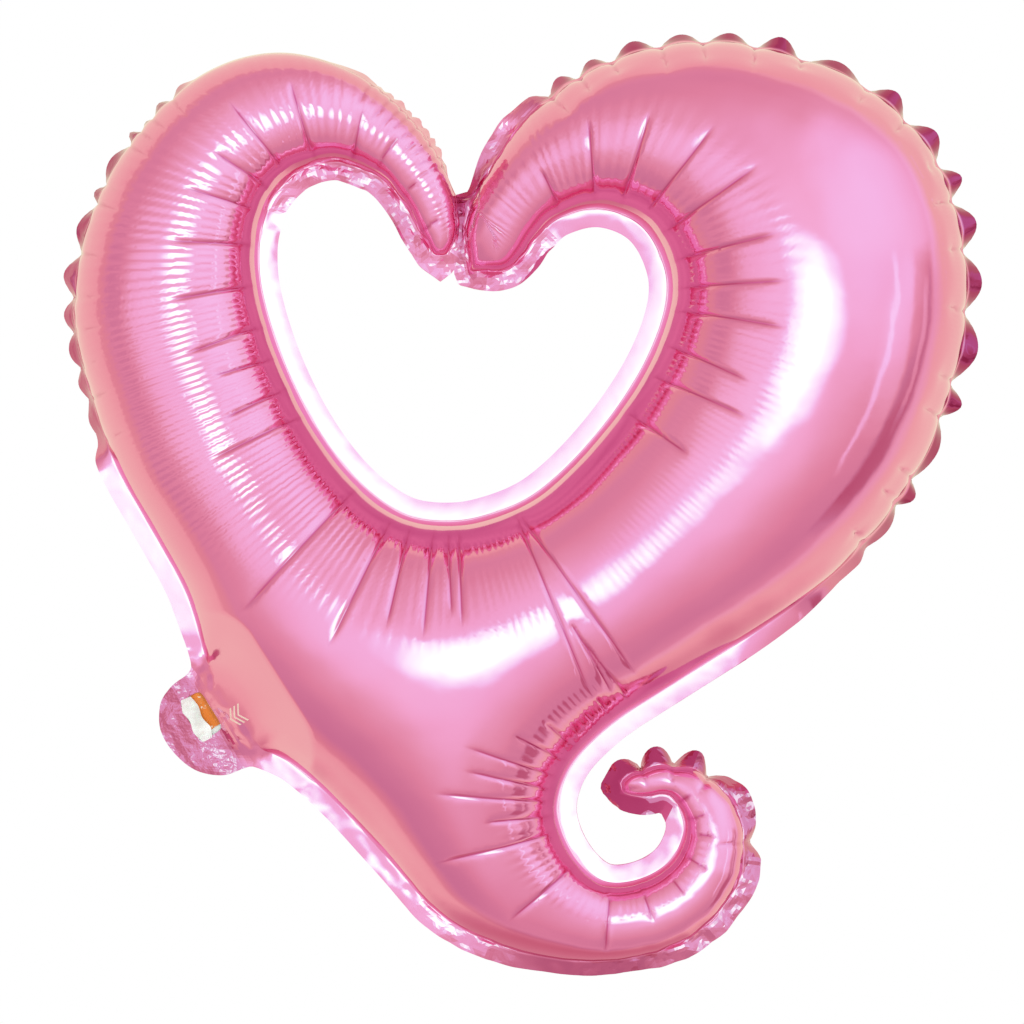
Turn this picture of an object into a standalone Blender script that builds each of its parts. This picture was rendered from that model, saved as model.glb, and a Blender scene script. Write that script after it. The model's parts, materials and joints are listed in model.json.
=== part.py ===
"""Hook-tailed heart balloon made of two foil films, with a folding neck and a flat self-sealing valve.

The balloon stands upright with its front toward -Y and its seam in the plane y = 0.
Outlines are (x, z) pairs in millimetres; the scene itself is in metres.
"""
import math

import bmesh
import bpy
import numpy as np
from mathutils import Vector
from mathutils.geometry import delaunay_2d_cdt

MM = 0.001

# Films
FILM = 0.5
SEAM_GAP = 0.3
SEAM_MARGIN = 8.5

# Heat seam of the inflated chamber, as smooth stretches that meet at corners
LEFT_OUTER = [
    (-37, 108), (-30.5, 119), (-29.5, 131), (-35, 150), (-49, 171.5), (-72, 191.5), (-105, 202.5),
    (-133, 198.5), (-160, 181.5), (-187, 148), (-200.5, 111), (-203, 82), (-197.5, 54), (-184, 16),
    (-168, -13), (-152, -42.5),
]
TAIL_OUTER = [
    (-105, -119), (-88, -133), (-61, -162), (-39, -186.5), (-20, -198), (5, -206), (32, -209), (59, -205.5),
    (80, -196), (96.5, -177), (101, -156), (96.5, -138), (83, -124.5), (67.5, -120), (52.5, -122.5),
]
TAIL_INNER_AND_RIGHT = [
    (42, -131), (53.5, -134.5), (67, -134), (74, -147), (68, -163), (54, -172), (37, -173), (23.5, -160.5),
    (16.5, -141), (21.5, -122), (39, -103), (69, -83), (120, -50), (155, -20.5), (178, 10), (194, 47),
    (202.5, 88), (199, 127), (185.5, 160), (158, 187), (126, 201.5), (93, 208.5), (61, 206.5), (26, 193),
    (-1, 170), (-17, 146), (-26, 122),
]
OPENING = [
    (-23, 104.5), (-6, 105), (14, 126.5), (35, 132.5), (55, 124), (66, 100), (60.5, 72.5), (38, 35), (6, 3),
    (-17, -7), (-33.5, -9.5), (-53, -6.5), (-75, 9.5), (-96, 38), (-113, 76.5), (-119.5, 109), (-114.5, 134.5),
    (-103.5, 147.5), (-85, 153.5), (-67, 148), (-53, 133), (-45, 119),
]
CURVE_STEPS = 3

# Neck tab: u runs outward along the neck from its crease and v runs across it
NECK_CENTRE = (-132.5, -95.0)
NECK_ANGLE = math.radians(211.5)
NECK_FROM = -25.0
NECK_TO = 22.0
MOUTH_SETBACK = 3.0
CREASE_GAP = 1.6
TAB_OUTLINE = [
    (CREASE_GAP, -31), (6.5, -24.5), (17, -23), (25.5, -19), (32, -9), (32.5, 3), (27.5, 16), (18, 24),
    (7, 26.5), (CREASE_GAP, 29),
]

# Channel that leaves room for the valve between the neck films
CHANNEL_LIFT = 0.9
CHANNEL_HALF = 18.5
CHANNEL_SHOULDER = 2.5
CHANNEL_REACH = 24.0
CHANNEL_LINES = (0.0, 40.0)

# Valve
VALVE_FILM = 0.3
VALVE_HALF = 17.0
VALVE_END_HALF = 14.0
VALVE_INSIDE = 74.0
VALVE_START = 3.0
VALVE_SPACING = 0.15
BACKING_END = 26.0
SLOT_U = (7.0, 18.3)
SLOT_V = (-14.5, 5.5)
LIP_U = (12.9, 17.8)
LIP_V = (-13.5, 4.5)
PATCH_U = (8.0, 12.5)
PATCH_V = (-14.0, 2.0)
PATCH_FILM = 0.2
CORNER_RADIUS = 2.0

# Mesh
GRID = 17.0
SEAM_RINGS = (4.0, 11.0)
MARGIN_RING = 1.2
MOUTH_STEPS = 4

PINK_FOIL = ((0.83, 0.24, 0.45, 1.0), 0.12, 0.95)
PINK_FOIL_BACK = ((0.80, 0.22, 0.43, 1.0), 0.14, 0.95)
PINK_FOIL_TAB = ((0.78, 0.26, 0.46, 1.0), 0.22, 0.9)
CLEAR_FILM = ((0.88, 0.87, 0.90, 1.0), 0.3, 0.0)
ORANGE_INK = ((0.86, 0.27, 0.06, 1.0), 0.45, 0.0)


def clear_scene():
    for old in list(bpy.data.objects):
        bpy.data.objects.remove(old, do_unlink=True)


def neck_point(u, v):
    """Place of a neck coordinate in the (x, z) plane of the seam."""
    cos, sin = math.cos(NECK_ANGLE), math.sin(NECK_ANGLE)
    return (NECK_CENTRE[0] + u * cos - v * sin, NECK_CENTRE[1] + u * sin + v * cos)


def neck_coordinates(points):
    """Neck coordinates (u, v) of points of the seam plane."""
    cos, sin = math.cos(NECK_ANGLE), math.sin(NECK_ANGLE)
    dx = points[:, 0] - NECK_CENTRE[0]
    dz = points[:, 1] - NECK_CENTRE[1]
    return dx * cos + dz * sin, dz * cos - dx * sin


def smooth_curve(points, steps=CURVE_STEPS):
    """Centripetal Catmull-Rom curve through the points, from the first up to but not with the last."""
    knots = [np.array(p, dtype=float) for p in points]
    knots = [2 * knots[0] - knots[1]] + knots + [2 * knots[-1] - knots[-2]]
    curve = []
    for p0, p1, p2, p3 in zip(knots, knots[1:], knots[2:], knots[3:]):
        t01, t12, t23 = (math.sqrt(np.linalg.norm(b - a)) for a, b in ((p0, p1), (p1, p2), (p2, p3)))
        leave = p2 - p1 + t12 * ((p1 - p0) / t01 - (p2 - p0) / (t01 + t12))
        arrive = p2 - p1 + t12 * ((p3 - p2) / t23 - (p3 - p1) / (t12 + t23))
        for step in range(steps):
            t = step / steps
            curve.append(p1 + leave * t + (3 * (p2 - p1) - 2 * leave - arrive) * t ** 2
                         + (2 * (p1 - p2) + leave + arrive) * t ** 3)
    return curve


def seam_loop():
    """Closed seam polyline of the chamber, counter-clockwise as seen from the front."""
    mouth = [np.array(neck_point(-MOUTH_SETBACK, v)) for v in (NECK_FROM, NECK_TO)]
    loop = []
    loop += smooth_curve(LEFT_OUTER + [mouth[0]])
    loop += [mouth[0] + (mouth[1] - mouth[0]) * step / MOUTH_STEPS for step in range(MOUTH_STEPS)]
    loop += smooth_curve([mouth[1]] + TAIL_OUTER + [TAIL_INNER_AND_RIGHT[0]])
    loop += smooth_curve(TAIL_INNER_AND_RIGHT + [OPENING[0]])
    loop += smooth_curve(OPENING + [LEFT_OUTER[0]])
    return np.array(loop)


def offset_loop(loop, distance):
    """The loop moved outward by a distance, or inward when the distance is negative."""
    tangent = np.roll(loop, -1, axis=0) - np.roll(loop, 1, axis=0)
    tangent /= np.linalg.norm(tangent, axis=1)[:, None]
    outward = np.column_stack([tangent[:, 1], -tangent[:, 0]])
    return loop + distance * outward


def is_inside(points, loop):
    """True for each point inside the closed loop."""
    x, z = points[:, :1], points[:, 1:]
    x1, z1 = loop[:, 0], loop[:, 1]
    x2, z2 = np.roll(x1, -1), np.roll(z1, -1)
    spans = (z1 > z) != (z2 > z)
    rise = np.where(z2 == z1, 1.0, z2 - z1)
    crossing = x1 + (z - z1) * (x2 - x1) / rise
    return np.count_nonzero(spans & (x < crossing), axis=1) % 2 == 1


def distance_to(points, loop):
    """Distance from each point to the closed loop."""
    start = loop[None, :, :]
    along = np.roll(loop, -1, axis=0)[None, :, :] - start
    offset = points[:, None, :] - start
    t = np.clip((offset * along).sum(axis=2) / (along ** 2).sum(axis=2), 0.0, 1.0)
    return np.linalg.norm(offset - t[:, :, None] * along, axis=2).min(axis=1)


def interior_points(seam):
    """Mesh points of the chamber: rings along the seam and a triangular grid inside them."""
    points = []
    for depth in SEAM_RINGS:
        ring = offset_loop(seam, -depth)
        points.append(ring[is_inside(ring, seam) & (distance_to(ring, seam) > 0.97 * depth)])
    low, high = seam.min(axis=0), seam.max(axis=0)
    row_height = GRID * math.sqrt(3) / 2
    rows = int((high[1] - low[1]) / row_height)
    grid = np.array([(x + GRID / 2 * (row % 2), low[1] + row * row_height)
                     for row in range(rows + 1) for x in np.arange(low[0], high[0], GRID)])
    points.append(grid[is_inside(grid, seam) & (distance_to(grid, seam) > SEAM_RINGS[-1] + GRID / 2)])
    return np.vstack(points)


def loop_edges(first, count):
    return [(first + i, first + (i + 1) % count) for i in range(count)]


def triangulate(points, edges, keep):
    """Delaunay triangles of the points; keep tells for each triangle's centre whether it stays."""
    coords, _, faces, *_ = delaunay_2d_cdt([Vector(p) for p in points], edges, [], 0, 1e-6)
    coords = np.array([tuple(c) for c in coords])
    faces = np.array([tuple(f) for f in faces])
    faces = faces[keep(coords[faces].mean(axis=1))]
    used, faces = np.unique(faces, return_inverse=True)
    return coords[used], faces.reshape(-1, 3)


def film_outline_mesh(seam):
    """Flat triangles of one film: the chamber and the sealed margin around it."""
    near = offset_loop(seam, MARGIN_RING)
    edge = offset_loop(seam, SEAM_MARGIN)
    shoulder = CHANNEL_HALF + CHANNEL_SHOULDER
    channel = [neck_point(u, v) for u in (-CHANNEL_REACH, 0.5 * SEAM_MARGIN)
               for v in (-shoulder, -CHANNEL_HALF, CHANNEL_HALF, shoulder)]
    points = np.vstack([seam, near, edge, channel, interior_points(seam)])
    count = len(seam)
    edges = loop_edges(0, count) + loop_edges(count, count) + loop_edges(2 * count, count)
    edges += [(3 * count + i, 3 * count + 4 + i) for i in range(4)]

    def keep(centres):
        return is_inside(centres, seam) | (distance_to(centres, seam) < SEAM_MARGIN)

    return triangulate(points, edges, keep)


def inflated_height(points, faces, seam):
    """Half-depth of the gas-filled chamber: sqrt(2 phi), where phi solves laplacian(phi) = -1.

    Over a straight tube this gives a round section, and it falls to zero at the seam.
    """
    chamber = faces[is_inside(points[faces].mean(axis=1), seam)]
    size = len(points)
    stiffness = np.zeros((size, size))
    load = np.zeros(size)
    for corner in range(3):
        i, j, k = chamber[:, corner], chamber[:, (corner + 1) % 3], chamber[:, (corner + 2) % 3]
        a, b = points[j] - points[i], points[k] - points[i]
        cross = np.abs(a[:, 0] * b[:, 1] - a[:, 1] * b[:, 0])
        weight = (a * b).sum(axis=1) / cross / 2
        for row, column, sign in ((j, k, -1), (k, j, -1), (j, j, 1), (k, k, 1)):
            np.add.at(stiffness, (row, column), sign * weight)
        np.add.at(load, i, cross / 6)
    free = is_inside(points, seam) & (distance_to(points, seam) > 1e-3)
    height = np.zeros(size)
    phi = np.linalg.solve(stiffness[np.ix_(free, free)], load[free])
    height[free] = np.sqrt(2 * np.maximum(phi, 0.0))
    return height


def channel_height(u, v):
    """Lift of a neck film over the valve, flat in the middle and sloping down beside it."""
    across = np.clip((CHANNEL_HALF + CHANNEL_SHOULDER - np.abs(v)) / CHANNEL_SHOULDER, 0.0, 1.0)
    return CHANNEL_LIFT * np.where(u > -CHANNEL_REACH, across, 0.0)


def make_material(name, look):
    colour, roughness, metallic = look
    material = bpy.data.materials.new(name)
    material.use_nodes = True
    shader = material.node_tree.nodes["Principled BSDF"]
    shader.inputs["Base Color"].default_value = colour
    shader.inputs["Roughness"].default_value = roughness
    shader.inputs["Metallic"].default_value = metallic
    material.diffuse_color = colour
    return material


def add_object(name, mesh, look, parent=None):
    mesh.materials.append(make_material(name + "_material", look))
    thing = bpy.data.objects.new(name, mesh)
    bpy.context.collection.objects.link(thing)
    thing.parent = parent
    return thing


def add_axis(name, parent=None, location=(0.0, 0.0, 0.0), angle=0.0):
    """Empty on a joint's axis, turned about Y so that its own X and Z are u and v."""
    axis = bpy.data.objects.new(name, None)
    axis.parent = parent
    axis.location = location
    axis.rotation_euler = (0.0, angle, 0.0)
    bpy.context.collection.objects.link(axis)
    return axis


def film_object(name, points, heights, faces, side, look, parent=None):
    """Film of even thickness over the mid-plane: side is -1 for the front film and 1 for the rear one."""
    lifted = [(x * MM, side * (SEAM_GAP / 2 + h) * MM, z * MM) for (x, z), h in zip(points, heights)]
    order = faces if side < 0 else faces[:, ::-1]
    mesh = bpy.data.meshes.new(name)
    mesh.from_pydata(lifted, [], order.tolist())
    film = add_object(name, mesh, look, parent)
    thickness = film.modifiers.new("film_thickness", "SOLIDIFY")
    thickness.thickness = FILM * MM
    thickness.offset = 1.0
    return film


def cut_at_crease(film):
    """Remove what lies beyond the neck crease, where the neck tab takes over."""
    x, z = neck_point(-CREASE_GAP, 0.0)
    outward = (math.cos(NECK_ANGLE), 0.0, math.sin(NECK_ANGLE))
    body = bmesh.new()
    body.from_mesh(film.data)
    everything = body.verts[:] + body.edges[:] + body.faces[:]
    bmesh.ops.bisect_plane(body, geom=everything, dist=1e-7, plane_co=(x * MM, 0.0, z * MM),
                           plane_no=outward, clear_outer=True)
    bmesh.ops.triangulate(body, faces=body.faces[:])
    body.to_mesh(film.data)
    body.free()


def build_envelope():
    seam = seam_loop()
    points, faces = film_outline_mesh(seam)
    u, v = neck_coordinates(points)
    heights = np.maximum(inflated_height(points, faces, seam), channel_height(u, v))
    for name, side, look in (("front_panel", -1, PINK_FOIL), ("rear_panel", 1, PINK_FOIL_BACK)):
        cut_at_crease(film_object(name, points, heights, faces, side, look))


def rounded_rectangle(span_u, span_v, radius=CORNER_RADIUS, corner_steps=4):
    """Outline of a rectangle with round corners, counter-clockwise in (u, v)."""
    outline = []
    corners = ((span_u[1], span_v[1], 0), (span_u[0], span_v[1], 90),
               (span_u[0], span_v[0], 180), (span_u[1], span_v[0], 270))
    middle = ((span_u[0] + span_u[1]) / 2, (span_v[0] + span_v[1]) / 2)
    for u, v, first in corners:
        centre_u = u - math.copysign(radius, u - middle[0])
        centre_v = v - math.copysign(radius, v - middle[1])
        for step in range(corner_steps + 1):
            angle = math.radians(first + 90 * step / corner_steps)
            outline.append((centre_u + radius * math.cos(angle), centre_v + radius * math.sin(angle)))
    return outline


def build_neck_films(neck_axis):
    """Front and rear neck films, folded as one tab; the front film has the filling slot."""
    outline = np.array(smooth_curve(TAB_OUTLINE) + [np.array(TAB_OUTLINE[-1])])
    slot = np.array(rounded_rectangle(SLOT_U, SLOT_V))
    shoulder = CHANNEL_HALF + CHANNEL_SHOULDER
    lines = [(u, v) for v in (-shoulder, -CHANNEL_HALF, CHANNEL_HALF, shoulder) for u in CHANNEL_LINES]
    for name, side, hole in (("neck_front_ply", -1, slot), ("neck_rear_ply", 1, None)):
        loops = [outline] if hole is None else [outline, hole]
        points = np.vstack(loops + [lines])
        edges = loop_edges(0, len(outline))
        if hole is not None:
            edges += loop_edges(len(outline), len(hole))
        first = len(points) - len(lines)
        edges += [(first + i, first + i + 1) for i in range(0, len(lines), 2)]

        def keep(centres, hole=hole):
            kept = is_inside(centres, outline)
            return kept if hole is None else kept & ~is_inside(centres, hole)

        points, faces = triangulate(points, edges, keep)
        heights = channel_height(points[:, 0], points[:, 1])
        film_object(name, points, heights, faces, side, PINK_FOIL_TAB, neck_axis)


def plate(name, outline, y_from, y_to, look, parent):
    """Flat sheet of an outline in its parent's (u, v) plane, between two depths."""
    body = bmesh.new()
    corners = [body.verts.new((u * MM, y_from * MM, v * MM)) for u, v in outline]
    face = body.faces.new(corners)
    grown = bmesh.ops.extrude_face_region(body, geom=[face])["geom"]
    moved = [item for item in grown if isinstance(item, bmesh.types.BMVert)]
    bmesh.ops.translate(body, verts=moved, vec=(0.0, (y_to - y_from) * MM, 0.0))
    bmesh.ops.recalc_face_normals(body, faces=body.faces[:])
    mesh = bpy.data.meshes.new(name)
    body.to_mesh(mesh)
    body.free()
    return add_object(name, mesh, look, parent)


def build_valve(neck_axis):
    """Valve tongue inside the chamber, its throat in the neck, and the lip that lifts in the slot."""
    near, far = VALVE_SPACING, VALVE_SPACING + VALVE_FILM
    hinge = tuple(c * MM for c in neck_point(-VALVE_START, 0.0))
    tongue = [(0.0, -VALVE_HALF), (0.0, VALVE_HALF), (-VALVE_INSIDE, VALVE_END_HALF),
              (-VALVE_INSIDE, -VALVE_END_HALF)]
    for name, side in (("valve_front_ply", -1), ("valve_rear_ply", 1)):
        axis = add_axis(name + "_axis", None, (hinge[0], 0.0, hinge[1]), -NECK_ANGLE)
        plate(name, tongue, side * near, side * far, CLEAR_FILM, axis)

    lip_depth = (-far - SEAM_GAP, -near - SEAM_GAP)
    throat = [(CREASE_GAP, -VALVE_HALF), (SLOT_U[0], -VALVE_HALF), (SLOT_U[0], VALVE_HALF),
              (CREASE_GAP, VALVE_HALF)]
    plate("valve_throat_front", throat, *lip_depth, CLEAR_FILM, neck_axis)
    backing = [(CREASE_GAP, -VALVE_HALF), (BACKING_END, -VALVE_HALF), (BACKING_END, VALVE_HALF),
               (CREASE_GAP, VALVE_HALF)]
    plate("valve_throat_rear", backing, near, far, CLEAR_FILM, neck_axis)
    patch = rounded_rectangle(PATCH_U, PATCH_V)
    plate("valve_ink_patch", patch, -PATCH_FILM, 0.0, ORANGE_INK, neck_axis)

    lip_axis = add_axis("lip_axis", neck_axis, (LIP_U[1] * MM, sum(lip_depth) / 2 * MM, 0.0))
    lip_outline = [(u - LIP_U[1], v) for u, v in rounded_rectangle(LIP_U, LIP_V)]
    half = VALVE_FILM / 2
    plate("valve_mouth_lip", lip_outline, -half, half, CLEAR_FILM, lip_axis)


def build():
    clear_scene()
    build_envelope()
    crease = tuple(c * MM for c in NECK_CENTRE)
    neck_axis = add_axis("neck_axis", None, (crease[0], 0.0, crease[1]), -NECK_ANGLE)
    build_neck_films(neck_axis)
    build_valve(neck_axis)


build()
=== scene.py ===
import json
import math

import bpy
import numpy as np
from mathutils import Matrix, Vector, kdtree, noise
from mathutils.geometry import delaunay_2d_cdt


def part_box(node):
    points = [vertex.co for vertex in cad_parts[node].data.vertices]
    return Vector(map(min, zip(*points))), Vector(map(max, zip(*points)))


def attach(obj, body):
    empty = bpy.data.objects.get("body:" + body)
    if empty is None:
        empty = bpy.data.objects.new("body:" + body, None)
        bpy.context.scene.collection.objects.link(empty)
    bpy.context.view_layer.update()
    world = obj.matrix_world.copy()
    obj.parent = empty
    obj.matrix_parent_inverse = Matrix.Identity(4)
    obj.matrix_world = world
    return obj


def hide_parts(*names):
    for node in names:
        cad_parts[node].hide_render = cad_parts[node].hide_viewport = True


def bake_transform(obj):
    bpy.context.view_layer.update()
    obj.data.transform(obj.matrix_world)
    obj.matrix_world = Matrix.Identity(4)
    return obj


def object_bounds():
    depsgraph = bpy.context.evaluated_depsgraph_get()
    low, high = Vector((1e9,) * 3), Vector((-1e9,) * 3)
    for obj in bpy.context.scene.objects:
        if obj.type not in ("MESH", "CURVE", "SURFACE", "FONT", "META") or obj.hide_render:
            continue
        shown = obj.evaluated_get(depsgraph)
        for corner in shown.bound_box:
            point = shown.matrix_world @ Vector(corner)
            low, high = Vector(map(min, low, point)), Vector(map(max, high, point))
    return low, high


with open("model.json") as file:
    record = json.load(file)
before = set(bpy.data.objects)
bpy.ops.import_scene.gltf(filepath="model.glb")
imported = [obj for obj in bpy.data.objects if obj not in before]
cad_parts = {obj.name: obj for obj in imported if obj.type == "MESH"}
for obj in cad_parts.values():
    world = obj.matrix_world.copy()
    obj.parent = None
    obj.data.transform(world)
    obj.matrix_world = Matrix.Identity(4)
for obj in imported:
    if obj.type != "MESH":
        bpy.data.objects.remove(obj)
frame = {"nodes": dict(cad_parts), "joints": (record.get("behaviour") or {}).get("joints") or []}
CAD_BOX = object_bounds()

# Lengths are in millimetres unless a name says otherwise. The seam plane is (x, z) and y is depth.
MM = 0.001

# Mesh of the films
LATTICE = 1.45
FINE_STEP = 0.4
SEAM_STRIDE = 4
RIM_ARC = 2.2
RIM_RINGS = 10
RIM_RADIUS = 45.0
CUT_SPACING = 1.5
MARGIN_RINGS = (0.4, 1.3, 2.6, 4.2, 5.8, 7.3)
BORDER_GAP = 0.45
ROW_GAP = 0.55

# Films
FILM = 0.15
SHEET_THICKNESS = 0.10
HALF_GAP = 0.06
CHANNEL_LIFT = 0.55

# Creases across the tube: distance of the root along the opening's seam from the right tip, and length
OPENING_CREASES = [
    (52, 20), (67, 35), (78, 40), (89, 47), (100, 48), (112, 44), (124, 46), (133, 47), (148, 40), (163, 46),
    (182, 34), (248, 84), (273, 42), (278, 38), (284, 47), (294, 45), (302, 60), (322, 70), (362, 42),
    (376, 30), (390, 27), (406, 34), (424, 35), (442, 34), (457, 32), (468, 28), (478, 38), (491, 34),
    (508, 22), (518, 18), (534, 10), (552, 10),
]
# The same for the bight of the tail, from the tail's tip
TAIL_CREASES = [
    (27, 7), (35, 9), (41, 12), (50, 14), (60, 13), (73, 17), (86, 28), (105, 36), (121, 52), (128, 30),
    (134, 50), (139, 40), (145, 43), (152, 28), (158, 21), (166, 12), (172, 12), (179, 14), (190, 38),
]
# Long creases right across the tube, as lines of the seam plane, with their depth
CREASE_STRETCH = 1.12
LONG_CREASES = [
    ([(0.1, -7.5), (14.0, -26.5), (27.8, -46.1), (40.0, -62.5), (50.9, -77.9)], 1.5),
    ([(22.3, -55.2), (32.0, -71.0), (40.5, -86.5)], 1.2),
]
# Slack folds of the neck, in neck coordinates
NECK_FOLDS = [
    [(4.7, -5.6), (2.1, 5.2), (2.8, 13.3), (1.4, 25.0)],
    [(7.5, -20.8), (10.8, -1.5), (7.7, 11.5), (5.8, 16.4)],
    [(-3.5, -20.7), (2.1, -10.8)],
]
# Corners of the lip at the slot, in neck coordinates
LIP_CORNERS = [
    (12.2, -14.4), (17.0, -15.2), (19.2, -10.0), (18.4, -5.0), (19.6, 0.5), (18.2, 6.2), (13.6, 6.6),
    (11.6, 2.0), (12.6, -3.5), (11.4, -9.0),
]

# Points of the seam, as distances along it
TAIL_TIP = 366.0
RIGHT_TIP = 1164.5
LEFT_TIP = 1735.0
TAIL_CUSPS = [285, 320, 337, 352, 366]
RIGHT_CUSPS = [684, 708, 721, 752, 769, 802, 830, 853, 871, 896, 919, 952, 974, 998, 1018, 1041, 1058, 1073]
LEFT_CUSPS = [1776, 1781, 1787, 1791, 1797, 1803, 1808, 1814, 1820, 1825, 1925, 1937, 1945, 1953, 1975, 1984,
              2008, 2028, 2044, 2060, 2075, 2095]
CUSPS = TAIL_CUSPS + RIGHT_CUSPS + LEFT_CUSPS
LONGEST_LOBE = 40.0
# How the lobes between cusps differ: in how far they lean, and in the power of their arch, middle and spread
LOBE_LEAN = 0.25
LOBE_FORM = (1.25, 0.5)
# Sealed margin along the seam: station, degrees it leans back, depth of its scallops, how crushed it is, and
# how much painted shade darkens its colour
TILT, SCALLOP, CRUSH, SHADE = 1, 2, 3, 4
MARGIN = [
    (0, 0, 0.0, 0.3, 0.0), (60, 3, 0.0, 0.12, 0.0), (110, 4, 0.0, 0.4, 0.0), (140, 8, 0.0, 0.5, 0.2),
    (165, 32, 0.0, 0.2, 0.6), (205, 36, 0.0, 0.6, 0.6), (225, 22, 0.0, 1.0, 0.3), (262, 10, 0.1, 1.0, 0.3),
    (285, 10, 0.6, 0.9, 0.5), (302, 5, 0.3, 1.0, 0.5), (320, 10, 0.9, 0.5, 0.7), (352, 5, 0.9, 0.4, 0.7),
    (368, 0, 0.1, 0.8, 0.6), (385, 0, 0.0, 0.7, 0.5), (402, 4, 0.0, 0.15, 0.0), (450, 8, 0.0, 0.1, 0.0),
    (540, 2, 0.0, 0.0, 0.0), (605, 4, 0.0, 0.05, 0.0), (640, 26, 0.0, 0.05, 0.0), (665, 58, 0.2, 0.1, 0.3),
    (708, 58, 0.8, 0.2, 1.0), (740, 46, 1.0, 0.2, 1.0), (800, 30, 1.0, 0.2, 1.0), (900, 42, 1.0, 0.2, 1.0),
    (1000, 54, 1.0, 0.2, 1.0), (1060, 60, 1.0, 0.3, 0.9), (1080, 50, 0.6, 0.5, 0.5),
    (1095, 26, 0.0, 1.0, 0.0), (1112, 20, 0.0, 1.0, 0.3), (1125, 16, 0.0, 1.0, 0.75),
    (1150, 20, 0.0, 1.0, 0.7), (1164, 0, 0.0, 1.0, 0.1), (1190, 8, 0.0, 0.6, 0.1),
    (1225, 9, 0.0, 0.12, 0.0), (1300, 3, 0.0, 0.02, 0.0), (1450, 5, 0.0, 0.02, 0.0),
    (1590, 8, 0.0, 0.04, 0.0), (1640, 14, 0.0, 0.5, 0.0), (1665, 10, 0.0, 1.0, 0.1),
    (1710, 6, 0.0, 0.9, 0.25), (1735, 0, 0.0, 1.0, 0.0), (1748, 20, 0.0, 1.0, 0.7),
    (1762, 62, 0.1, 0.8, 0.6), (1780, 72, 0.35, 0.15, 0.0), (1825, 74, 0.35, 0.1, 0.0),
    (1848, 82, 0.0, 0.0, 0.0), (1912, 80, 0.0, 0.0, 0.0), (1926, 62, 0.8, 0.4, 0.9),
    (1950, 68, 0.8, 0.4, 0.9), (1980, 62, 0.8, 0.5, 0.9), (2000, 54, 0.8, 0.7, 0.8),
    (2025, 42, 0.7, 0.9, 0.6), (2050, 50, 0.6, 0.8, 0.7), (2090, 56, 0.4, 0.5, 0.6),
    (2106, 0, 0.0, 0.1, 0.0), (2120, 0, 0.0, 0.03, 0.0), (2195, 0, 0.0, 0.03, 0.0),
    (2207, 0, 0.0, 0.3, 0.0), (2251, 0, 0.0, 0.3, 0.0),
]
# The web in the cleft hangs below the cut edge of the flat film: where it is, how far it sags, how wide
CLEFT = 1134.0
WEB_SAG = 8.5
WEB_SPREAD = 6.0
MARGIN_WIDTH = 8.5
STEEPEST = 84.0
# The margin bends at a hinge where it leans more than this, and curls where it leans less
HINGED_FROM = 30.0
HINGE_WIDTH = 0.3
# How far a cusp pulls the seam in, and how far over the tube the pull reaches
CUSP_PULL = 1.5
PULL_REACH = 7.0
# The margin is flat beyond this u and within this v, beside the neck
FLAT_NEAR_NECK = (-16.0, -7.0)
NECK_MARGIN_HALF = 46.0
# Creases fade where the film turns edge-on: the y part of its normal, faded and full
CREASED_FACING = (0.22, 0.78)

# Fine ripples: distance along the opening's seam, how far over the tube they reach, how strong they are
RIPPLES = [
    (1164, 30, 0.6), (1230, 58, 0.7), (1300, 66, 0.6), (1345, 60, 0.3), (1400, 62, 0.2), (1440, 60, 0.6),
    (1480, 66, 0.8), (1530, 92, 1.0), (1600, 92, 1.0), (1650, 70, 1.0), (1690, 52, 0.8), (1735, 30, 0.6),
]
# Fainter ripples that start at the outer seam: where along it they begin and end
TAIL_RIPPLES = ((386.0, 396.0), (540.0, 565.0))
RIM_RIPPLES = ((740.0, 800.0), (960.0, 1010.0))
RIPPLE_RATE = 0.16
RIPPLE_PITCH = 2.5
RIPPLE_HEIGHT = 0.22
# How far noise shifts the ripples, in radians, and how much of their height is regular and how much is noise
RIPPLE_DRIFT = 7.0
RIPPLE_REGULAR = 0.32
RIPPLE_LOOSE = 0.6

# Neck, in neck coordinates
MOUTH_TAPER = 26.0
NECK_BULGE = 13.0
BULGE_RISE = (-30.0, -8.0)
BULGE_FROM = -5.0
BULGE_TO = 9.0
BULGE_HALF = 26.5
CHANNEL_HALF = 17.5
CHANNEL_EDGE = 21.0
CHANNEL_RISE = (-14.0, -6.0)
CHANNEL_FALL = (27.0, 30.0)
TAB_RISE = (-9.0, 5.0)
TAB_SIDE = (32.0, 44.0)
TAB_WAVE = 1.6
TAB_LEAN = 0.20
LEAN_FROM = 2.0
# Painted shade over the neck's tab: how much, and over which u it rises
TAB_SHADE = 0.4
TAB_SHADE_RISE = (4.0, 11.0)
NECK_SIDE = 40.0
TAB_BUMP = 0.8
PRINT_MIDDLE = (-1.2, 3.9)
PRINT_HALF = 4.4
PRINT_PITCH = 2.1
PRINT_COUNT = 3
PRINT_SLOPE = 0.6
PRINT_SHARE = 0.42
PRINT_COVER = 0.8
PRINT_ROUGHNESS = 0.3

# Colours and roughness
FOIL_ROUGHNESS = (0.06, 0.11)
TINT = (0.92, 0.37, 0.56)
DEEP_TINT = (0.89, 0.33, 0.53)
# Painted shade: the deep colour laid on the sealed margin and the tab, where crushed and scalloped film
# reflects itself
MARGIN_SHADE_TINT = (0.44, 0.06, 0.17)
# Painted shade in the crease bottoms
FOLD_SHADE_TINT = (0.60, 0.09, 0.24)
PRINT_COLOUR = (0.93, 0.74, 0.60)
CARD_COLOURS = ((0.62, 0.20, 0.38), (0.80, 0.34, 0.52))
FLOOR_COLOURS = ((0.90, 0.90, 0.90), (0.93, 0.93, 0.92))
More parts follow.
